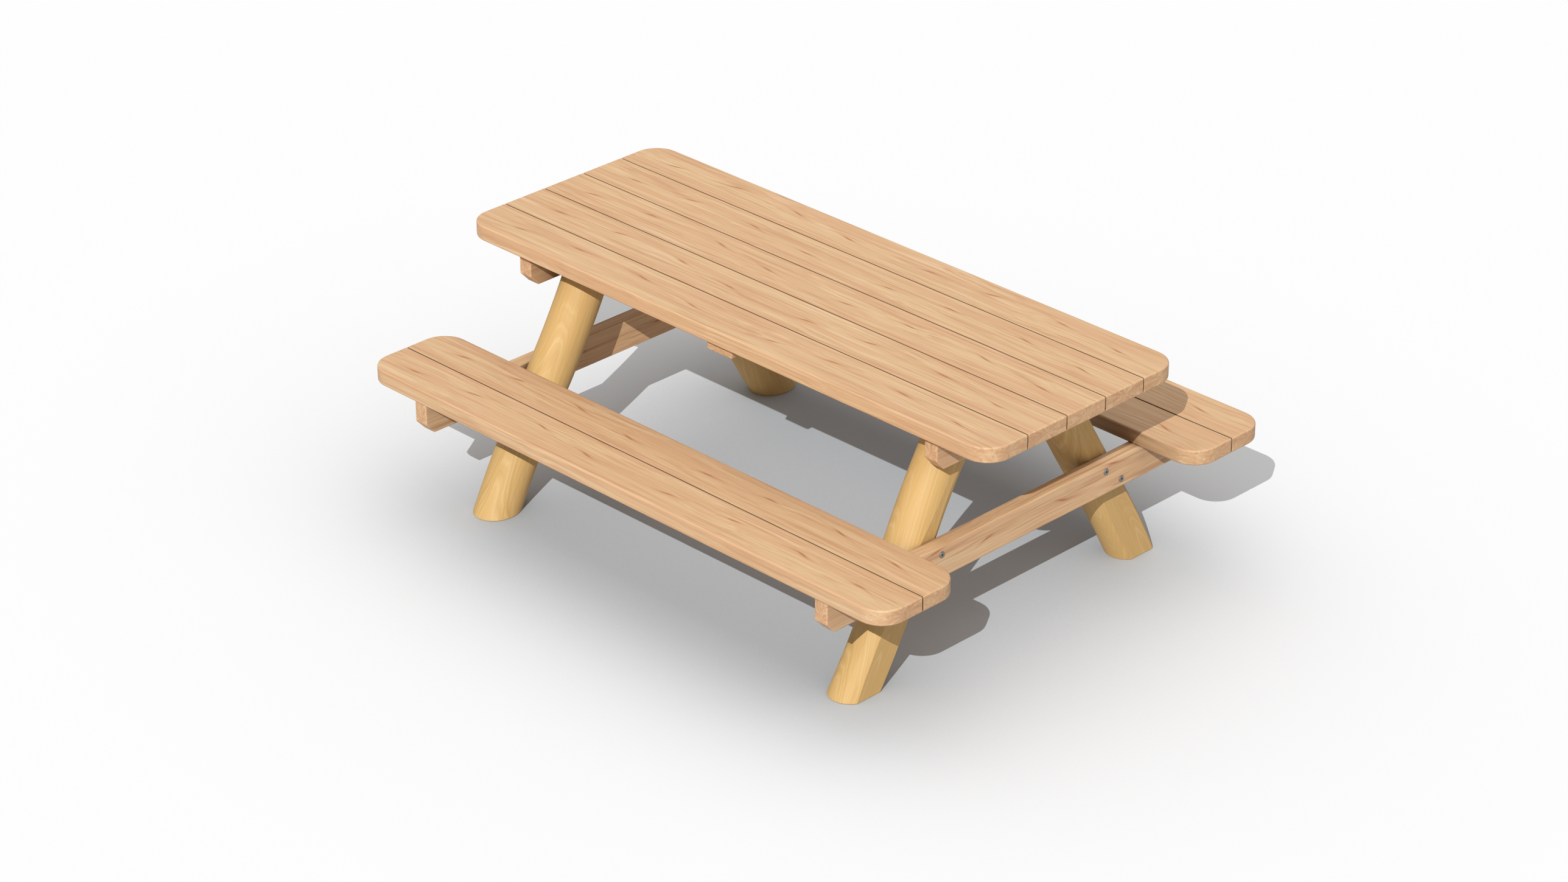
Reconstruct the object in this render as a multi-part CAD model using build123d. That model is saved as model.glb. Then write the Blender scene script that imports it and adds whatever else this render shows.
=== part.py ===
from build123d import *
import math
import os

# A free-standing picnic table: five plank top, two plank benches, four leaning log legs,
# and five cross timbers, held together by bolts and screws. Millimetres.
# X runs along the planks, Y across them, Z up. The origin is on the ground under the middle.
# Front is -Y and left is -X.

# Driving dimensions of the whole table
table_length = 2000
table_height = 750
seat_height = 430
seat_outer_edge = 755

# Planks
plank_width = 145
plank_thickness = 45
plank_gap = 5
top_plank_count = 5
seat_plank_count = 2
corner_radius = 75
plank_arris = 5
gap_arris = 1

# Bearers, on edge under the planks, with their lower end corners cut off at a slant
bearer_thickness = 45
bearer_height = 95
bearer_outer_face = 800
top_bearer_length = 700
seat_bearer_length = 1500
slant_run = 30
slant_rise = 32
bearer_arris = 4

# The batten across the middle of the top, laid flat
batten_width = 95
batten_thickness = 35
batten_length = 700

# Legs: round logs, leaning in towards the top, each with a slight S bend in its length
log_diameter = 130
log_lean = 29.7
log_foot_y = 548
log_middle_x = 698.5
log_middle_z = 315
bend_depth = 7.5
bend_half_wave = 370
log_top_clearance = 3
log_cut_past_end = 50
log_section_count = 9
log_arris = 2

# Flat-headed bolts with a hexagon socket, two to each crossing of a bearer and a leg
bolt_diameter = 10
bolt_hole = 11
bolt_length = 140
bolt_point = 4
bolt_head_diameter = 18.5
bolt_head_height = 2.5
bolt_head_chamfer = 1.0
socket_across_flats = 6
socket_depth = 4
bolt_offset_y = 32
bolt_offset_z = 22.5

# Pan-headed screws, driven up through the bearers and the batten into the planks
screw_diameter = 6
screw_head_diameter = 12
screw_head_height = 3.5
screw_socket_depth = 1.75
screw_tip = 6
screw_grip_in_plank = 35
screw_spread = 30
screw_clearance_hole = 7
screw_pocket_diameter = 14
bearer_pocket_depth = 30
batten_pocket_depth = 6
end_screw_shift = 20
running_clearance = 0.05
screw_point_radius = 0.5

# Working allowances
cut_overrun = 1
edge_match = 1
tangent_step = 1
leg_block = 2250

# Derived sizes
plank_pitch = plank_width + plank_gap
top_underside = table_height - plank_thickness
seat_underside = seat_height - plank_thickness
bearer_inner_face = bearer_outer_face - bearer_thickness
bearer_middle_x = bearer_outer_face - bearer_thickness / 2
top_bearer_base = top_underside - bearer_height
seat_bearer_base = seat_underside - bearer_height
log_radius = log_diameter / 2
log_top = top_underside - log_top_clearance

SIDES = {"left": -1, "right": 1}
ENDS = {"front": -1, "back": 1}


def top_plank_middles():
    """Y of each top plank's middle, from the front to the back."""
    first = -(top_plank_count - 1) / 2 * plank_pitch
    return [first + i * plank_pitch for i in range(top_plank_count)]


def seat_plank_middles():
    """Y of the back bench's planks, from the inner one to the outer one."""
    outer = seat_outer_edge - plank_width / 2
    return [outer - i * plank_pitch for i in reversed(range(seat_plank_count))]


def log_axis_y(z):
    """Y of a back leg's axis at the height z."""
    return log_foot_y - z * math.tan(math.radians(log_lean))


def mirrored(solid, side, end):
    """Moves a solid made for the right and back to the named side and end."""
    if SIDES[side] < 0:
        solid = mirror(solid, about=Plane.YZ)
    if ENDS[end] < 0:
        solid = mirror(solid, about=Plane.XZ)
    return solid


def hole(diameter, x, y, z_low, z_high):
    """A vertical cylinder to cut away or to build with."""
    height = z_high - z_low
    return Pos(x, y, z_low + height / 2) * Cylinder(diameter / 2, height)


def cross_hole(diameter, y, z, x_low, x_high):
    """A cylinder along X."""
    length = x_high - x_low
    return Pos(x_low + length / 2, y, z) * Rot(0, 90, 0) * Cylinder(diameter / 2, length)


def corner_edges(board, ys):
    """A plank's upright edges that stand at its ends and at one of the given Y."""
    half_length = table_length / 2
    at_ends = [
        e for e in board.edges().filter_by(Axis.Z) if abs(abs(e.center().X) - half_length) < edge_match
    ]
    return [e for e in at_ends if any(abs(e.center().Y - y) < edge_match for y in ys)]


def gap_edges(board, ys):
    """A plank's edges on the flat sides at the given Y, all the way round each side."""
    flat = board.faces().filter_by(Axis.Y)
    sides = [f for f in flat if any(abs(f.center().Y - y) < edge_match for y in ys)]
    return [e for f in sides for e in f.edges()]


def plank(middle_y, underside, round_low, round_high):
    """A plank along X, rounded over on its free sides and ends, with a large round corner on
    each free side. The arrises toward a neighbouring plank are only just broken."""
    low = middle_y - plank_width / 2
    high = middle_y + plank_width / 2
    board = Pos(0, middle_y, underside + plank_thickness / 2) * Box(
        table_length, plank_width, plank_thickness
    )
    rounded_y = [y for y, is_round in ((low, round_low), (high, round_high)) if is_round]
    sharp_y = [y for y in (low, high) if y not in rounded_y]
    if rounded_y:
        board = fillet(corner_edges(board, rounded_y), corner_radius)
    faces = board.faces().sort_by(Axis.Z)
    level = list(faces[0].edges()) + list(faces[-1].edges())
    at_gap = [e for e in level if any(abs(e.center().Y - y) < edge_match for y in sharp_y)]
    free = [e for e in level if e not in at_gap]
    board = fillet(free, plank_arris)
    return fillet(gap_edges(board, sharp_y), gap_arris)


def bearer(length, base):
    """The right-hand bearer along Y, on edge, with slanted lower corners and eased arrises."""
    half = length / 2
    top = base + bearer_height
    outline = Polyline(
        (-half, top),
        (half, top),
        (half, base + slant_rise),
        (half - slant_run, base),
        (-half + slant_run, base),
        (-half, base + slant_rise),
        close=True,
    )
    section = Plane.YZ * make_face(outline)
    board = extrude(section, bearer_thickness)
    board = Pos(bearer_inner_face, 0, 0) * board
    return fillet(board.edges(), bearer_arris)


def batten():
    """The flat batten along Y under the middle of the top."""
    board = Pos(0, 0, top_underside - batten_thickness / 2) * Box(
        batten_width, batten_length, batten_thickness
    )
    return fillet(board.edges(), bearer_arris)


def log_axis_point(z):
    """A point of the right back leg's axis: a straight lean with one gentle S bend in X."""
    swing = math.sin(math.pi * (log_middle_z - z) / bend_half_wave)
    return Vector(log_middle_x + bend_depth * swing, log_axis_y(z), z)


def bent_log():
    """The right back log, whole, lofted through circles square to its axis."""
    low = -log_cut_past_end
    step = (log_top + 2 * log_cut_past_end) / (log_section_count - 1)
    sections = []
    for i in range(log_section_count):
        z = low + i * step
        along = log_axis_point(z + tangent_step) - log_axis_point(z - tangent_step)
        square = Plane(origin=log_axis_point(z), x_dir=(1, 0, 0), z_dir=along)
        sections.append(square * Circle(log_radius))
    return loft(sections)


def bolt_places(z_middle):
    """Y and Z of the two bolts where a back leg's axis crosses a bearer."""
    y_middle = log_axis_y(z_middle)
    return [
        (y_middle - bolt_offset_y, z_middle + bolt_offset_z),
        (y_middle + bolt_offset_y, z_middle - bolt_offset_z),
    ]


seat_bolts = bolt_places(seat_bearer_base + bearer_height / 2)
top_bolts = bolt_places(top_bearer_base + bearer_height / 2)


def leg():
    """The right back leg: the log cut level at both ends, sawn flat outside and drilled."""
    pilot = bolt_diameter + 2 * running_clearance
    bolt_end = bearer_outer_face - bolt_length
    log = bent_log()
    keep = Pos(bearer_inner_face - leg_block / 2, 0, log_top / 2) * Box(leg_block, leg_block, log_top)
    log = log & keep
    log = fillet(log.edges(), log_arris)
    for y, z in seat_bolts + top_bolts:
        log -= cross_hole(pilot, y, z, bolt_end, bearer_inner_face + cut_overrun)
    return log


def bolt(y, z):
    """A lag bolt, screwed into the log through a bearer, with a thin flat socket head."""
    head = Pos(0, 0, bolt_head_height / 2) * Cylinder(bolt_head_diameter / 2, bolt_head_height)
    head = chamfer(head.edges().sort_by(Axis.Z)[-1], bolt_head_chamfer)
    shank = Pos(0, 0, -bolt_length / 2) * Cylinder(bolt_diameter / 2, bolt_length)
    shank = chamfer(shank.edges().sort_by(Axis.Z)[0], bolt_point)
    socket = RegularPolygon(socket_across_flats / 2, 6, major_radius=False)
    pit = Pos(0, 0, bolt_head_height - socket_depth) * extrude(socket, socket_depth)
    return Pos(bearer_outer_face, y, z) * Rot(0, 90, 0) * (head + shank - pit)


def screw(x, y, seat_z, tip_z):
    """A pan-headed screw driven upward, its head's flat underside at seat_z."""
    body = hole(screw_diameter, x, y, seat_z, tip_z - screw_tip)
    point = Cone(screw_diameter / 2, screw_point_radius, screw_tip)
    point = Pos(x, y, tip_z - screw_tip / 2) * point
    head = Pos(0, 0, -screw_head_height / 2) * Cylinder(screw_head_diameter / 2, screw_head_height)
    head = chamfer(head.edges().sort_by(Axis.Z)[0], bolt_head_chamfer)
    socket = extrude(RegularPolygon(screw_diameter / 4, 6, major_radius=False), screw_socket_depth)
    pit = Pos(0, 0, -screw_head_height) * socket
    return Pos(x, y, seat_z) * (head - pit) + body + point


def screw_pair(middle_y, outermost):
    """Y of a plank's two screws, moved inward on the outermost plank of a cross timber."""
    shift = 0
    if outermost:
        shift = -math.copysign(end_screw_shift, middle_y)
    return [middle_y + shift - screw_spread, middle_y + shift + screw_spread]


def top_screw_ys():
    """Y of all screws across the top."""
    outer = max(top_plank_middles())
    return [y for m in top_plank_middles() for y in screw_pair(m, abs(m) == outer)]


def seat_screw_ys():
    """Y of the screws across the back bench."""
    outer = max(seat_plank_middles())
    return [y for m in seat_plank_middles() for y in screw_pair(m, m == outer)]


def batten_screw_places():
    """X and Y of the batten's screws, set either side of its middle in turn."""
    places = []
    for i, y in enumerate(top_screw_ys()):
        x = batten_width / 4
        if i % 2 == 0:
            x = -x
        places.append((x, y))
    return places


def plank_with_pilots(board, places, underside):
    """Cuts the screws' pilot holes into a plank from below."""
    pilot = screw_diameter + 2 * running_clearance
    box = board.bounding_box()
    for x, y in places:
        if box.min.Y < y < box.max.Y:
            board -= hole(pilot, x, y, underside - cut_overrun, underside + screw_grip_in_plank)
    return board


def with_screw_holes(timber, places, base, top, pocket_depth):
    """Cuts each screw's head pocket and clearance hole up through a cross timber."""
    for x, y in places:
        timber -= hole(screw_pocket_diameter, x, y, base - cut_overrun, base + pocket_depth)
        timber -= hole(screw_clearance_hole, x, y, base, top + cut_overrun)
    return timber


def screws(places, base, pocket_depth, plank_underside):
    """A group of screws, one at each place."""
    seat = base + pocket_depth
    tip = plank_underside + screw_grip_in_plank
    return Compound(children=[screw(x, y, seat, tip) for x, y in places])


def bearer_screw_places(ys):
    """X and Y of the right bearer's screws, in one row along its middle."""
    return [(bearer_middle_x, y) for y in ys]


def every_way(places):
    """The same places at both sides and both ends of the table."""
    return [(sx * x, ey * y) for sx in SIDES.values() for ey in ENDS.values() for x, y in places]


def top_planks():
    """The five planks of the top, from the front to the back, with their pilot holes."""
    places = every_way(bearer_screw_places(top_screw_ys())) + batten_screw_places()
    parts = {}
    for i, y in enumerate(top_plank_middles()):
        board = plank(y, top_underside, i == 0, i == top_plank_count - 1)
        parts[f"top_plank_{i + 1}"] = plank_with_pilots(board, places, top_underside)
    return parts


def seat_planks():
    """The two planks of each bench, rounded only on the bench's free side."""
    places = every_way(bearer_screw_places(seat_screw_ys()))
    parts = {}
    for row, y in zip(("inner", "outer"), seat_plank_middles()):
        for end, sign in ENDS.items():
            toward_back = (row == "outer") == (sign > 0)
            board = plank(sign * y, seat_underside, not toward_back, toward_back)
            parts[f"{end}_seat_plank_{row}"] = plank_with_pilots(board, places, seat_underside)
    return parts


def batten_and_screws():
    """The batten under the middle of the top, with its own screws."""
    base = top_underside - batten_thickness
    places = batten_screw_places()
    return {
        "top_batten_middle": with_screw_holes(batten(), places, base, top_underside, batten_pocket_depth),
        "batten_screws": screws(places, base, batten_pocket_depth, top_underside),
    }


def with_bolt_holes(timber, places):
    """Cuts the bolt holes through a right-hand bearer, for the legs at both ends."""
    for ey in ENDS.values():
        for y, z in places:
            low = bearer_inner_face - cut_overrun
            high = bearer_outer_face + cut_overrun
            timber -= cross_hole(bolt_hole, ey * y, z, low, high)
    return timber


def bearers():
    """The four bearers, drilled for their screws and bolts."""
    top = bearer(top_bearer_length, top_bearer_base)
    places = bearer_screw_places(top_screw_ys())
    top = with_screw_holes(top, places, top_bearer_base, top_underside, bearer_pocket_depth)
    top = with_bolt_holes(top, top_bolts)
    seat = bearer(seat_bearer_length, seat_bearer_base)
    places = [(x, ey * y) for ey in ENDS.values() for x, y in bearer_screw_places(seat_screw_ys())]
    seat = with_screw_holes(seat, places, seat_bearer_base, seat_underside, bearer_pocket_depth)
    seat = with_bolt_holes(seat, seat_bolts)
    parts = {}
    for side in SIDES:
        parts[f"top_bearer_{side}"] = mirrored(top, side, "back")
        parts[f"seat_bearer_{side}"] = mirrored(seat, side, "back")
    return parts


def legs():
    """The four legs, all from the one made for the right and back."""
    one = leg()
    return {f"leg_{end}_{side}": mirrored(one, side, end) for end in ENDS for side in SIDES}


def bearer_screws():
    """The screws up through each bearer, into the top and into each bench."""
    top = bearer_screw_places(top_screw_ys())
    top = screws(top, top_bearer_base, bearer_pocket_depth, top_underside)
    seat = bearer_screw_places(seat_screw_ys())
    seat = screws(seat, seat_bearer_base, bearer_pocket_depth, seat_underside)
    parts = {}
    for side in SIDES:
        parts[f"top_screws_{side}"] = mirrored(top, side, "back")
        for end in ENDS:
            parts[f"{end}_seat_screws_{side}"] = mirrored(seat, side, end)
    return parts


def bolts():
    """The lag bolts into the legs, grouped by level and side."""
    parts = {}
    for level, places in (("top", top_bolts), ("seat", seat_bolts)):
        for side in SIDES:
            pieces = [mirrored(bolt(y, z), side, end) for end in ENDS for y, z in places]
            parts[f"{level}_bolts_{side}"] = Compound(children=pieces)
    return parts


def all_parts():
    """Every sub-part of the table, by its node's name."""
    return {
        **top_planks(),
        **seat_planks(),
        **bearers(),
        **legs(),
        **batten_and_screws(),
        **bearer_screws(),
        **bolts(),
    }


os.makedirs("parts", exist_ok=True)
for name, shape in all_parts().items():
    export_step(shape, f"parts/{name}.step")
    solids = shape.solids()
    print(name, len(solids), "solids", round(sum(s.volume for s in solids) / 1000), "cm3")
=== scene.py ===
# %% [markdown]
# # A picnic table, finished in wood and steel
#
# The table stands free on four leaning log legs. Five planks make the top, two planks make
# each bench, and timber bearers on edge carry them. This lesson takes the table as it was
# drawn in CAD, gives every piece the finish of the real one, and lights it like a plain
# studio picture. All lengths are metres: X runs along the planks, Y across them, Z up.

# %% Load the table
import math

import bpy
import numpy as np
from mathutils import Euler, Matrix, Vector


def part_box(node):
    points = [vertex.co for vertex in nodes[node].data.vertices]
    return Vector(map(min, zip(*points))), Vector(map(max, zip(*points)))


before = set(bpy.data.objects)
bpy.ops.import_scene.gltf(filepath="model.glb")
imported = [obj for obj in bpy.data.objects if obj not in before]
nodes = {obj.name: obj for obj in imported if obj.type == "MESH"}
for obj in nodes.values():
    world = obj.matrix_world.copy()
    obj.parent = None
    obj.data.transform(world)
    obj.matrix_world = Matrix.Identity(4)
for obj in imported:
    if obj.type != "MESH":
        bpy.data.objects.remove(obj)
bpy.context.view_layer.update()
print("pieces from the CAD model:", len(nodes))

# %% [markdown]
# ## Which piece is made of what
#
# The real table is sawn from one kind of pale softwood, but it shows three faces: planks
# laid flat, bearers stood on edge, and peeled round logs. The bolts and screws are plain
# steel. Sorting the pieces by name keeps each finish in one place.

# %% Sort the pieces
planks = sorted(n for n in nodes if "plank" in n)
bearers = sorted(n for n in nodes if "bearer" in n)
battens = ["top_batten_middle"]
logs = sorted(n for n in nodes if n.startswith("leg_"))
steel = sorted(set(nodes) - set(planks) - set(bearers) - set(battens) - set(logs))
print(len(planks), "planks,", len(bearers), "bearers,", len(logs), "logs")
print(len(battens), "batten,", len(steel), "groups of bolts or screws")

# %% [markdown]
# ## A small bench for joining shader nodes
#
# A wood finish is a chain of small sums. Written out in full, each one takes four or five
# lines, so one helper adds a node, sets it up and joins its inputs, and a second does plain
# arithmetic. An input is either a number or the output of an earlier node. A ramp turns one
# range of numbers into another, with soft ends.


# %% Helpers that add one node
def put(tree, kind, inputs=None, **settings):
    """Adds one node, with its settings, and fills its inputs with numbers or joins."""
    made = tree.nodes.new(kind)
    for name, value in settings.items():
        setattr(made, name, value)
    for name, value in (inputs or {}).items():
        if isinstance(value, bpy.types.NodeSocket):
            tree.links.new(value, made.inputs[name])
        else:
            made.inputs[name].default_value = value
    return made


def sum_of(tree, rule, *values):
    """One sum on numbers or sockets: ADD, MULTIPLY, SUBTRACT and so on."""
    made = put(tree, "ShaderNodeMath", dict(enumerate(values)), operation=rule)
    return made.outputs[0]


def ramp(tree, value, low, high, bottom=0.0, top=1.0):
    """A smooth climb from bottom to top as the value goes from low to high."""
    made = put(
        tree,
        "ShaderNodeMapRange",
        {"Value": value, "From Min": low, "From Max": high, "To Min": bottom, "To Max": top},
        interpolation_type="SMOOTHSTEP",
    )
    return made.outputs["Result"]


print("helpers for single nodes:", put.__name__, sum_of.__name__, ramp.__name__)

# %% [markdown]
# ## Mixing colours, and noise that is long one way
#
# Wood is one colour laid over another, so a helper mixes two of them. What shows where comes
# from noise. Noise that changes slowly along a board and fast across it looks like grain,
# so the noise takes a scale for each direction, in steps per metre.


# %% Helpers for colours and noise
def blend_colours(tree, amount, first, second, rule="MIX"):
    """The first colour where the amount is 0, the second, or their product, where it is 1."""
    made = put(tree, "ShaderNodeMix", data_type="RGBA", blend_type=rule)
    for socket, value in (("Factor_Float", amount), ("A_Color", first), ("B_Color", second)):
        target = next(i for i in made.inputs if i.identifier == socket)
        if isinstance(value, bpy.types.NodeSocket):
            tree.links.new(value, target)
        else:
            target.default_value = value if isinstance(value, float) else (*value, 1.0)
    return next(o for o in made.outputs if o.identifier == "Result_Color")


def clouds(tree, vector, scale, detail=2.0, roughness=0.5):
    """Soft noise between 0 and 1, stretched by a scale for each direction."""
    stretched = put(tree, "ShaderNodeVectorMath", {0: vector, 1: scale}, operation="MULTIPLY")
    made = put(
        tree,
        "ShaderNodeTexNoise",
        {"Vector": stretched.outputs[0], "Scale": 1.0, "Detail": detail, "Roughness": roughness},
    )
    return made.outputs["Fac"]


def swing(tree, vector, scale, size, detail=2.0):
    """Soft noise about 0, in metres: (noise - 0.5) * size."""
    about = sum_of(tree, "SUBTRACT", clouds(tree, vector, scale, detail), 0.5)
    return sum_of(tree, "MULTIPLY", about, size)


def figure(tree, vector, scale, low, high, detail=2.0, roughness=0.6):
    """One layer of grain: noise that shows from the low value and is full at the high one."""
    return ramp(tree, clouds(tree, vector, scale, detail, roughness), low, high)


print("helpers for noise:", clouds.__name__, swing.__name__, figure.__name__)

# %% [markdown]
# ## Painted shade in the corners
#
# Wood looks darker in the gaps between planks, under the top, and where a log meets a
# bearer, because less of the sky reaches it there. The light alone leaves those places a
# little too pale, so shade is painted into the colour itself with an ambient occlusion node.
# A log's foot stands on a pale floor that lights it again, so the painted shade fades out near
# the ground.

# %% Paint shade where pieces close in
CORNER_SAMPLES = 4
CORNER_CLOSED = 0.10
CORNER_OPEN = 0.78
FOOT_CLEAR = 0.2


def paint_corner_shade(tree, colour, reach, keeps, ground):
    """Paints shade into a colour where other pieces close in within the reach.

    The colour keeps the given share of itself where almost nothing is open, and all of it
    where three quarters is. From the ground height down to a fifth of it, that shade fades
    out. A ground height of 0 means no fading.
    """
    # painted shade: the colour is multiplied down where the ambient occlusion node finds the sky
    # hidden
    hidden = put(
        tree, "ShaderNodeAmbientOcclusion", {"Distance": reach}, samples=CORNER_SAMPLES
    )
    keep = ramp(tree, hidden.outputs["AO"], CORNER_CLOSED, CORNER_OPEN, keeps, 1.0)
    coordinates = put(tree, "ShaderNodeTexCoord").outputs["Object"]
    height = put(tree, "ShaderNodeSeparateXYZ", {"Vector": coordinates}).outputs["Z"]
    foot = ramp(tree, height, ground, FOOT_CLEAR * ground)
    keep = sum_of(tree, "MAXIMUM", keep, foot)
    grey = put(tree, "ShaderNodeCombineColor", {"Red": keep, "Green": keep, "Blue": keep})
    return blend_colours(tree, 1.0, colour, grey.outputs[0], rule="MULTIPLY")


print("open corners keep their colour from", CORNER_OPEN, "of the sky upwards")

# %% [markdown]
# ## From a finish to a piece
#
# Every wood ends in the same way: its colour goes to the shader through the painted corner
# shade, and its finest fibres make the surface a little rougher, smoother, higher and lower.
# The pieces keep their CAD meshes, and take a finish through their material slots.

# %% Make a finish and wear it
FIBRE_LOW = 0.3
FIBRE_HIGH = 0.7
FIBRE_DEPTH = 0.0004


def new_finish(name):
    """An empty material with its node tree and its main shader."""
    finish = bpy.data.materials.new(name)
    finish.use_nodes = True
    tree = finish.node_tree
    return finish, tree, tree.nodes["Principled BSDF"]


def wood_surface(tree, shader, colour, fibres, shine, relief, corners):
    """Joins a wood to its shader: colour with painted shade, roughness and relief from fibres.

    Shine is the roughness at the fibres' low and high values.
    """
    rough = ramp(tree, fibres, FIBRE_LOW, FIBRE_HIGH, *shine)
    bump = put(
        tree,
        "ShaderNodeBump",
        {"Height": fibres, "Strength": relief, "Distance": FIBRE_DEPTH},
    )
    tree.links.new(paint_corner_shade(tree, colour, *corners), shader.inputs["Base Color"])
    tree.links.new(rough, shader.inputs["Roughness"])
    tree.links.new(bump.outputs["Normal"], shader.inputs["Normal"])


def wear(names, finish):
    """Gives a finish to CAD pieces through their material slots."""
    for name in names:
        slots = nodes[name].data.materials
        slots.clear()
        slots.append(finish)


print("fibres stand out by at most", 1000 * FIBRE_DEPTH, "mm")

# %% [markdown]
# ## Wood colours
#
# The planks are a warm, pale larch: salmon wood with cream bands and, here and there, a
# short red-brown fleck where the grain closes round a hidden pin knot. The bearers stand on
# edge and are a little lighter; part of that is painted light, which makes up for the painted
# shade in their corners. The peeled logs are yellower. These colours are the light that the
# wood throws back, in linear numbers.

# %% Wood colours
SALMON = (0.628, 0.382, 0.208)
CREAM = (0.665, 0.446, 0.246)
PALE = (0.735, 0.525, 0.315)
STREAK = (0.500, 0.262, 0.128)
FLECK = (0.400, 0.155, 0.055)
# partly painted light: the bearers' colours are raised to make up for their painted corner shade
BEARER_LIFT = 1.09
LOG_GOLD = (0.612, 0.384, 0.139)
LOG_CREAM = (0.700, 0.480, 0.215)
LOG_DARK = (0.500, 0.290, 0.088)
print("red for blue, planks:", round(SALMON[0] / SALMON[2], 2))
print("red for blue, logs:", round(LOG_GOLD[0] / LOG_GOLD[2], 2))

# %% [markdown]
# ## Sawn timber: a board's own coordinates
#
# A board's figure runs along it, so each board first gets its own coordinates: along, across
# and through, from its middle. A Mapping node does this, and turns the boards that lie
# across the table. Each board then gets its own place in the noise, so that no two are
# alike. No tree grows quite straight, so slow noise pushes the figure a little sideways.

# %% Along, across and through a board
WANDER_SCALE = (1.9, 7.0, 7.0)
WANDER_SIZE = 0.045


def board_place(tree, middle, turned):
    """Along, across and through, in metres from a board's middle. Turned boards lie along Y."""
    coordinates = put(tree, "ShaderNodeTexCoord")
    turn = Euler((0, 0, -math.pi / 2 if turned else 0))
    shift = -(turn.to_matrix() @ Vector(middle))
    placed = put(
        tree,
        "ShaderNodeMapping",
        {"Vector": coordinates.outputs["Object"], "Location": shift, "Rotation": turn},
    )
    return placed.outputs[0]


def moved(tree, vector, offset):
    """A vector shifted by a constant or by another vector."""
    return put(tree, "ShaderNodeVectorMath", {0: vector, 1: offset}, operation="ADD").outputs[0]


def wandering(tree, place, seed):
    """The board's coordinates, pushed a few millimetres across by slow noise along the grain."""
    seeded = moved(tree, place, seed)
    push = swing(tree, seeded, WANDER_SCALE, WANDER_SIZE)
    sideways = put(tree, "ShaderNodeCombineXYZ", {"Y": push, "Z": push}).outputs[0]
    return moved(tree, seeded, sideways)


print("the figure wanders by less than", 500 * WANDER_SIZE, "mm to each side")

# %% [markdown]
# ## Flecks
#
# A fleck is a short red-brown mark in the grain. Each one is drawn as a thin slanted stroke
# with a longer, fainter tail. Folding the length about the middle, and once more on planks,
# repeats a stroke with its slant turned round, as on boards that were opened like a book.
# Noise would scatter such marks too, but it can't keep them thin, slanted and rare.

# %% The strokes of the flecks
PLANK_FLECKS = ((0.130, 0.015), (0.345, -0.006))
BEARER_FLECKS = ((0.150, 0.002), (0.350, 0.036))
PLANK_FOLD = 0.5
FLECK_CORE = (0.014, 0.0019, 0.90)
FLECK_TAIL = (0.045, 0.0030, 0.38)
FLECK_SLOPE = 0.13
DRIFT_SCALE = (1.3, 3.0, 3.0)
DRIFT_SIZE = 0.12
SWAY_SCALE = (9.0, 9.0, 9.0)
SWAY_SIZE = 0.024


def stroke(tree, along, across, length, width):
    """A soft oval spot: e ^ -((along / length)^2 + (across / width)^2) / 2."""
    u = sum_of(tree, "DIVIDE", along, length)
    v = sum_of(tree, "DIVIDE", across, width)
    square = sum_of(tree, "MULTIPLY_ADD", u, u, sum_of(tree, "MULTIPLY", v, v))
    return sum_of(tree, "POWER", math.e, sum_of(tree, "MULTIPLY", square, -0.5))


def flecks(tree, place, turned, seed):
    """Thin slanted strokes, strongest at the core and fading in the tail.

    The fleck rows give each stroke's place along the folded length and across a plank's
    face, or up a bearer's. Its across is measured from a line that falls by the slope. The
    strokes, each times its strength, are added.
    """
    seeded = moved(tree, place, seed)
    drift = swing(tree, seeded, DRIFT_SCALE, DRIFT_SIZE)
    parts = put(tree, "ShaderNodeSeparateXYZ", {"Vector": place}).outputs
    folded = sum_of(tree, "ABSOLUTE", sum_of(tree, "ADD", parts["X"], drift))
    if not turned:
        folded = sum_of(tree, "ABSOLUTE", sum_of(tree, "SUBTRACT", folded, PLANK_FOLD))
    sway = swing(tree, seeded, SWAY_SCALE, SWAY_SIZE, detail=1.0)
    across = sum_of(tree, "ADD", parts["Z" if turned else "Y"], sway)
    total = 0.0
    for along_at, across_at in BEARER_FLECKS if turned else PLANK_FLECKS:
        far = sum_of(tree, "SUBTRACT", folded, along_at)
        aside = sum_of(tree, "SUBTRACT", across, across_at)
        aside = sum_of(tree, "MULTIPLY_ADD", far, FLECK_SLOPE, aside)
        for length, width, strength in (FLECK_CORE, FLECK_TAIL):
            dark = stroke(tree, far, aside, length, width)
            total = sum_of(tree, "MULTIPLY_ADD", dark, strength, total)
    return put(tree, "ShaderNodeClamp", {"Value": total}).outputs[0]


print("flecks on a plank:", 4 * len(PLANK_FLECKS), "and on a bearer:", 2 * len(BEARER_FLECKS))

# %% [markdown]
# ## Sawn ends
#
# A saw cut across the grain shows the timber's rays, fanning out from the board's middle.
# Noise that is read on the direction from the middle, and not on the distance, is the same
# all the way out, which makes rays. They show only where the surface faces along the board.

# %% Rays on the ends
RAY_SCALE = (0.0, 3.2, 3.2)
RAY_LOW = 0.38
RAY_HIGH = 0.66
END_STARTS = 0.80
END_FULL = 0.97


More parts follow.
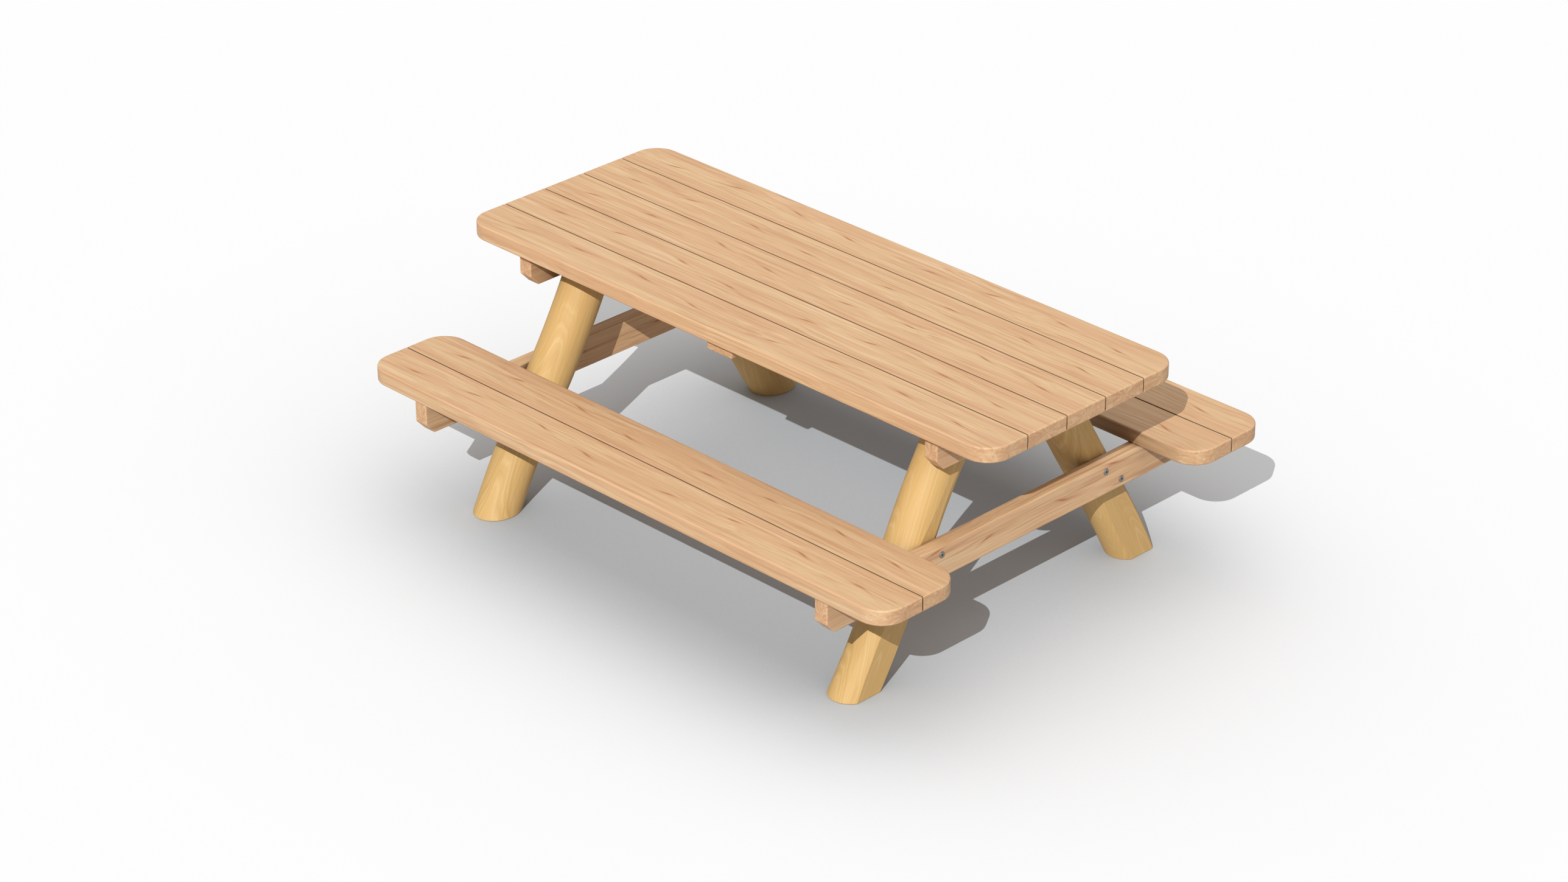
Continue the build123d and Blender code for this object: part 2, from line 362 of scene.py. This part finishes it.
def end_rays(tree, place, turned, seed):
    """Faint rays round a board's middle, from 0 to 1 on its two sawn ends and 0 elsewhere."""
    parts = put(tree, "ShaderNodeSeparateXYZ", {"Vector": place}).outputs
    flat = put(tree, "ShaderNodeCombineXYZ", {"Y": parts["Y"], "Z": parts["Z"]}).outputs[0]
    way = put(tree, "ShaderNodeVectorMath", {0: flat}, operation="NORMALIZE").outputs[0]
    spread = moved(tree, way, seed)
    rays = figure(tree, spread, RAY_SCALE, RAY_LOW, RAY_HIGH, detail=3.0, roughness=0.65)
    facing = put(tree, "ShaderNodeTexCoord").outputs["Normal"]
    faces = put(tree, "ShaderNodeSeparateXYZ", {"Vector": facing}).outputs
    lengthwise = sum_of(tree, "ABSOLUTE", faces["Y" if turned else "X"])
    at_end = ramp(tree, lengthwise, END_STARTS, END_FULL)
    return sum_of(tree, "MULTIPLY", at_end, rays)


turned_by = math.degrees(math.acos(END_STARTS))
print("rays fade out on faces turned away by", round(turned_by), "degrees")

# %% [markdown]
# ## The colours of a board
#
# The cream heart of the board shows along a plank's middle, and along a bearer's two long
# edges. Pale bands, red streaks and fine lines come over it, each one narrower than the
# last. The wood's ends and flecks are laid on top, because they show through all of it.

# %% The layers of a board
BAND_SCALE = (1.1, 34.0, 34.0)
BAND_LOW = 0.38
BAND_HIGH = 0.66
PALE_LAYER = ((1.6, 85.0, 85.0), 0.52, 0.72, 2.0)
STREAK_LAYER = ((2.2, 105.0, 105.0), 0.48, 0.70, 3.0)
STREAK_SHIFT = (5.1, 2.7, 8.3)
LINE_LAYER = ((4.0, 300.0, 300.0), 0.40, 0.70, 2.0)
FIBRE_SCALE = (14.0, 800.0, 800.0)
PLANK_HEART = 0.036
PLANK_GATHER = 1.5
BEARER_HEART = 0.024
BEARER_GATHER = 4.0


def gathered(tree, place, turned):
    """How much more cream there is here: in a plank's middle, or at a bearer's long edges."""
    parts = put(tree, "ShaderNodeSeparateXYZ", {"Vector": place}).outputs
    if turned:
        edgewards = sum_of(tree, "ABSOLUTE", parts["Z"])
        edgewards = sum_of(tree, "SUBTRACT", edgewards, BEARER_HEART)
        return sum_of(tree, "MULTIPLY", edgewards, BEARER_GATHER)
    inwards = sum_of(tree, "ABSOLUTE", parts["Y"])
    inwards = sum_of(tree, "SUBTRACT", PLANK_HEART, inwards)
    return sum_of(tree, "MULTIPLY", inwards, PLANK_GATHER)


print("streaks are about", round(500 / STREAK_LAYER[0][1], 1), "mm wide")

# %% The finish of a board
PALE_AMOUNT = 0.75
PLANK_RED = 0.70
BEARER_RED = 0.85
LINE_AMOUNT = 0.40
RAY_AMOUNT = 0.80
FLECK_AMOUNT = 0.90
BOARD_SHINE = (0.5, 0.62)
BOARD_RELIEF = 0.12
# painted corner shade: reach, share of colour kept where closed in, ground height
PLANK_PAINTED_SHADE = (0.60, 0.22, 0.0)
BEARER_PAINTED_SHADE = (0.30, 0.35, 0.0)


def sawn_wood(name, middle, turned, seed):
    """A sawn board's finish: bands, streaks, fibres and flecks along it, rays on its ends."""
    finish, tree, shader = new_finish(name)
    place = board_place(tree, middle, turned)
    grain = wandering(tree, place, seed)
    bands = clouds(tree, grain, BAND_SCALE)
    bands = sum_of(tree, "ADD", bands, gathered(tree, place, turned))
    # partly painted light: bearer and batten colours are raised against their painted corner
    # shade
    lift = BEARER_LIFT if turned else 1.0
    salmon, cream = (tuple(lift * c for c in paint) for paint in (SALMON, CREAM))
    colour = blend_colours(tree, ramp(tree, bands, BAND_LOW, BAND_HIGH), salmon, cream)
    layers = (
        (figure(tree, grain, *PALE_LAYER), PALE_AMOUNT, PALE),
        (
            figure(tree, moved(tree, grain, STREAK_SHIFT), *STREAK_LAYER),
            BEARER_RED if turned else PLANK_RED,
            STREAK,
        ),
        (figure(tree, grain, *LINE_LAYER), LINE_AMOUNT, STREAK),
        (end_rays(tree, place, turned, seed), RAY_AMOUNT, STREAK),
        (flecks(tree, place, turned, seed), FLECK_AMOUNT, FLECK),
    )
    for shows, amount, paint in layers:
        colour = blend_colours(tree, sum_of(tree, "MULTIPLY", shows, amount), colour, paint)
    fibres = clouds(tree, grain, FIBRE_SCALE)
    corners = BEARER_PAINTED_SHADE if turned else PLANK_PAINTED_SHADE
    wood_surface(tree, shader, colour, fibres, BOARD_SHINE, BOARD_RELIEF, corners)
    return finish


# %% Finish the planks, bearers and batten
for i, name in enumerate(planks + bearers + battens):
    low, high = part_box(name)
    middle = (low + high) / 2
    seed = (3.7 * i + 0.4, 1.3 * i, 0.9 * i)
    wear([name], sawn_wood("sawn_" + name, middle, name not in planks, seed))
    print(name, "middle at", [round(v, 3) for v in middle])

# %% [markdown]
# ## Peeled logs
#
# A log leg is milled round from a slightly larger tree, so its surface cuts through the
# growth rings at a slant: pale flames where the rings are nearly level with the surface and
# straight lines at the sides. The finish follows that: rings are cones about a pith that lies
# off the log's middle. They are measured from the log's own leaning and gently bent axis, so
# each leg first gets its own coordinates, as the boards did.

# %% Outward, across and along a leg
LOG_LEAN = math.radians(29.7)
LOG_FOOT_Y = 0.548
LOG_MIDDLE_X = 0.6985
LOG_MIDDLE_Z = 0.315
BEND_DEPTH = 0.0075
BEND_HALF_WAVE = 0.370


def log_place(tree, side, end):
    """Outward, across and along, from a leg's axis, the same way round on all four legs.

    The axis stands at X = middle + depth * sin(pi * (middle height - Z) / half wave), and at
    Y = foot - Z * tan(lean). Across is measured square to the lean, and along is the length
    from the ground.
    """
    coordinates = put(tree, "ShaderNodeTexCoord")
    flipped = put(
        tree,
        "ShaderNodeVectorMath",
        {0: coordinates.outputs["Object"], 1: (side, end, 1)},
        operation="MULTIPLY",
    )
    parts = put(tree, "ShaderNodeSeparateXYZ", {"Vector": flipped.outputs[0]}).outputs
    rise = sum_of(tree, "SUBTRACT", LOG_MIDDLE_Z, parts["Z"])
    bend = sum_of(tree, "SINE", sum_of(tree, "MULTIPLY", rise, math.pi / BEND_HALF_WAVE))
    axis_x = sum_of(tree, "MULTIPLY_ADD", bend, BEND_DEPTH, LOG_MIDDLE_X)
    axis_y = sum_of(tree, "MULTIPLY_ADD", parts["Z"], -math.tan(LOG_LEAN), LOG_FOOT_Y)
    outward = sum_of(tree, "SUBTRACT", parts["X"], axis_x)
    level = sum_of(tree, "SUBTRACT", parts["Y"], axis_y)
    across = sum_of(tree, "MULTIPLY", level, math.cos(LOG_LEAN))
    along = sum_of(tree, "DIVIDE", parts["Z"], math.cos(LOG_LEAN))
    along = sum_of(tree, "MULTIPLY_ADD", level, -math.sin(LOG_LEAN), along)
    return put(tree, "ShaderNodeCombineXYZ", {"X": outward, "Y": across, "Z": along}).outputs[0]


print("the legs lean by", round(math.degrees(LOG_LEAN), 1), "degrees")

# %% [markdown]
# ## The grain of a log
#
# The ring number is read as noise along one line, so every ring has its own width and
# colour, as good and bad years give it. A ring texture would make all of them alike. Long
# dark strands and fine fibres run up the log, where the peeling knife followed the grain.

# %% The finish of a log
LOG_PITH = (-0.010, 0.020)
LOG_TAPER = 0.042
RING_WANDER_SCALE = (12.0, 12.0, 2.2)
RING_WANDER = 0.020
RING_SCALE = (480.0, 0.0, 0.0)
RING_PALE = (0.46, 0.76)
RING_DARK = (0.46, 0.25, 0.0, 0.8)
STRAND_SCALE = (150.0, 150.0, 3.5)
STRAND_LOW = 0.45
STRAND_HIGH = 0.68
STRAND_AMOUNT = 0.26
LOG_FIBRE_SCALE = (700.0, 700.0, 12.0)
LOG_SHINE = (0.55, 0.65)
LOG_RELIEF = 0.1
# painted corner shade on the logs: reach, share kept, and the height where it fades out
LOG_PAINTED_SHADE = (0.09, 0.60, 0.20)


def ring_radius(tree, place, seeded):
    """How far out in the tree a point was: distance from the pith + taper * along + noise."""
    from_pith = moved(tree, place, (-LOG_PITH[0], -LOG_PITH[1], 0))
    parts = put(tree, "ShaderNodeSeparateXYZ", {"Vector": from_pith}).outputs
    flat = put(tree, "ShaderNodeCombineXYZ", {"X": parts["X"], "Y": parts["Y"]}).outputs[0]
    far = put(tree, "ShaderNodeVectorMath", {0: flat}, operation="LENGTH").outputs["Value"]
    radius = sum_of(tree, "MULTIPLY_ADD", parts["Z"], LOG_TAPER, far)
    slow = clouds(tree, seeded, RING_WANDER_SCALE)
    return sum_of(tree, "MULTIPLY_ADD", slow, RING_WANDER, radius)


def log_wood(name, side, end, seed):
    """A peeled log's finish: noise read along the ring radius, then strands and fibres."""
    finish, tree, shader = new_finish(name)
    place = log_place(tree, side, end)
    seeded = moved(tree, place, seed)
    radius = ring_radius(tree, place, seeded)
    line = put(tree, "ShaderNodeCombineXYZ", {"X": radius}).outputs[0]
    rings = clouds(tree, line, RING_SCALE, detail=2.0, roughness=0.55)
    strands = figure(tree, seeded, STRAND_SCALE, STRAND_LOW, STRAND_HIGH, roughness=0.5)
    strands = sum_of(tree, "MULTIPLY", strands, STRAND_AMOUNT)
    colour = blend_colours(tree, ramp(tree, rings, *RING_PALE), LOG_GOLD, LOG_CREAM)
    colour = blend_colours(tree, ramp(tree, rings, *RING_DARK), colour, LOG_DARK)
    colour = blend_colours(tree, strands, colour, LOG_DARK)
    fibres = clouds(tree, seeded, LOG_FIBRE_SCALE)
    wood_surface(tree, shader, colour, fibres, LOG_SHINE, LOG_RELIEF, LOG_PAINTED_SHADE)
    return finish


# %% Finish the legs
for i, name in enumerate(logs):
    side = 1 if name.endswith("right") else -1
    end = 1 if "_back_" in name else -1
    seed = (1.7 * i, 2.3 * i, 0.8 * i)
    wear([name], log_wood("peeled_" + name, side, end, seed))
    print(name, "side", side, "end", end)

# %% [markdown]
# ## Steel
#
# The bolt heads are dull zinc-plated steel with a dark socket, and the hidden screws are
# stainless. The metal is rough, so it shows as a soft grey disc. Fine noise breaks up its
# shine, as plating does. The socket is real geometry, so it needs no dark paint.

# %% Finish the steel
ZINC = (0.38, 0.375, 0.36)
ZINC_ROUGH = 0.42
STAINLESS = (0.55, 0.55, 0.54)
STAINLESS_ROUGH = 0.34
MOTTLE_SCALE = (300.0, 300.0, 300.0)
MOTTLE_ROUGH = (0.3, 0.7)
MOTTLE_SHADE = (0.35, 0.65)
SMOOTHER = 0.06
ROUGHER = 0.08
DARKER = 0.8


def dull_steel(name, colour, rough):
    """Dull steel: a metal of one colour whose roughness and shade vary a little."""
    finish, tree, shader = new_finish(name)
    coordinates = put(tree, "ShaderNodeTexCoord")
    mottle = clouds(tree, coordinates.outputs["Object"], MOTTLE_SCALE, 3.0)
    shine = ramp(tree, mottle, *MOTTLE_ROUGH, rough - SMOOTHER, rough + ROUGHER)
    dark = tuple(DARKER * c for c in colour)
    shade = blend_colours(tree, ramp(tree, mottle, *MOTTLE_SHADE), dark, colour)
    tree.links.new(shade, shader.inputs["Base Color"])
    tree.links.new(shine, shader.inputs["Roughness"])
    shader.inputs["Metallic"].default_value = 1.0
    return finish


zinc = dull_steel("zinc_bolt", ZINC, ZINC_ROUGH)
stainless = dull_steel("stainless_screw", STAINLESS, STAINLESS_ROUGH)
wear([n for n in steel if "screws" not in n], zinc)
wear([n for n in steel if "screws" in n], stainless)
print("steel groups finished:", len(steel))

# %% [markdown]
# ## Floor
#
# The table stands on a plain white floor. The floor is a single square, and it isn't part
# of the object. Close to what stands on it, shade is painted into the floor's colour: an
# ambient occlusion node takes the white down to grey under the table. Light that goes on
# from the floor to the wood meets a greyer floor, which keeps the undersides from being
# washed out.

# %% The floor
FLOOR_HALF = 60.0
FLOOR_Z = -0.0004
FLOOR_WHITE = (0.80, 0.80, 0.80)
FLOOR_SHADED = (0.408, 0.446, 0.478)
FLOOR_RETURN = (0.50, 0.50, 0.50)
SHADE_REACH = 1.8
SHADE_SAMPLES = 12
SHADE_CLOSED = 0.1
SHADE_OPEN = 1.05
corners = np.array([(-1, -1), (1, -1), (1, 1), (-1, 1)]) * FLOOR_HALF
points = np.column_stack([corners, np.full(4, FLOOR_Z)])
floor_mesh = bpy.data.meshes.new("floor")
floor_mesh.from_pydata(points.tolist(), [], [(0, 1, 2, 3)])
floor = bpy.data.objects.new("floor", floor_mesh)
bpy.context.scene.collection.objects.link(floor)
print("floor:", 2 * FLOOR_HALF, "metres square")

# %% The floor's finish
plain, floor_tree, floor_shader = new_finish("plain_floor")
openness = put(
    floor_tree, "ShaderNodeAmbientOcclusion", {"Distance": SHADE_REACH}, samples=SHADE_SAMPLES
)
openness = ramp(floor_tree, openness.outputs["AO"], SHADE_CLOSED, SHADE_OPEN)
# painted shade: the floor's colour goes from white to grey where the sky is hidden
seen = blend_colours(floor_tree, openness, FLOOR_SHADED, FLOOR_WHITE)
# bounced light sees a plain grey floor and the camera the painted one; this deepens the
# undersides' shade
ray = put(floor_tree, "ShaderNodeLightPath")
seen = blend_colours(floor_tree, ray.outputs["Is Camera Ray"], FLOOR_RETURN, seen)
floor_tree.links.new(seen, floor_shader.inputs["Base Color"])
floor_shader.inputs["Roughness"].default_value = 1.0
floor_shader.inputs["Specular IOR Level"].default_value = 0.0
floor_mesh.materials.append(plain)
print("the floor darkens within", SHADE_REACH, "metres of the table")

# %% [markdown]
# ## Light
#
# One hard sun stands behind the viewer, a little to the left, and draws sharp shadows. The
# sky is plain white, strongest overhead like a large soft box, and weaker at the horizon.
# The view is left without a tone curve, so that the white floor stays white.

# %% Sun and sky
SUN_TRAVEL = (-0.705, 1.146, -1.0)
SUN_STRENGTH = 2.95
SUN_WIDTH = math.radians(0.2)
SKY_OVERHEAD = 0.96
SKY_HORIZON = 0.12
sun_light = bpy.data.lights.new("sun", "SUN")
sun_light.energy = SUN_STRENGTH
sun_light.angle = SUN_WIDTH
sun = bpy.data.objects.new("sun", sun_light)
sun.rotation_euler = Vector(SUN_TRAVEL).to_track_quat("-Z", "Y").to_euler()
bpy.context.scene.collection.objects.link(sun)
sky = bpy.data.worlds.new("sky")
sky.use_nodes = True
sky_tree = sky.node_tree
direction = put(sky_tree, "ShaderNodeTexCoord").outputs["Generated"]
height = put(sky_tree, "ShaderNodeSeparateXYZ", {"Vector": direction}).outputs["Z"]
strength = put(
    sky_tree,
    "ShaderNodeMapRange",
    {"Value": height, "To Min": SKY_HORIZON, "To Max": SKY_OVERHEAD},
).outputs["Result"]
sky_tree.nodes["Background"].inputs["Color"].default_value = (1.0, 1.0, 1.0, 1.0)
sky_tree.links.new(strength, sky_tree.nodes["Background"].inputs["Strength"])
bpy.context.scene.world = sky
bpy.context.scene.view_settings.view_transform = "Standard"
sun_height = math.atan2(-SUN_TRAVEL[2], math.hypot(*SUN_TRAVEL[:2]))
print("the sun stands", round(math.degrees(sun_height)), "degrees up")

# %% [markdown]
# ## Camera
#
# The camera stands well back from one corner and looks down with a long lens, so that both
# long sides stay nearly parallel, as in a catalogue picture.

# %% The camera
CAMERA_PLACE = (7.3669, -7.4710, 5.7956)
CAMERA_TURN = math.radians(135.0)
CAMERA_DIP = math.radians(-27.746)
CAMERA_WIDTH_ANGLE = math.radians(20.795)
SENSOR_WIDTH = 36.0
look = Vector(
    (
        math.cos(CAMERA_DIP) * math.cos(CAMERA_TURN),
        math.cos(CAMERA_DIP) * math.sin(CAMERA_TURN),
        math.sin(CAMERA_DIP),
    )
)
camera_data = bpy.data.cameras.new("camera")
camera_data.sensor_fit = "HORIZONTAL"
camera_data.sensor_width = SENSOR_WIDTH
camera_data.lens = SENSOR_WIDTH / 2 / math.tan(CAMERA_WIDTH_ANGLE / 2)
camera = bpy.data.objects.new("camera", camera_data)
camera.location = CAMERA_PLACE
camera.rotation_euler = look.to_track_quat("-Z", "Y").to_euler()
bpy.context.scene.collection.objects.link(camera)
bpy.context.scene.camera = camera
print("lens in millimetres:", round(camera_data.lens, 2))
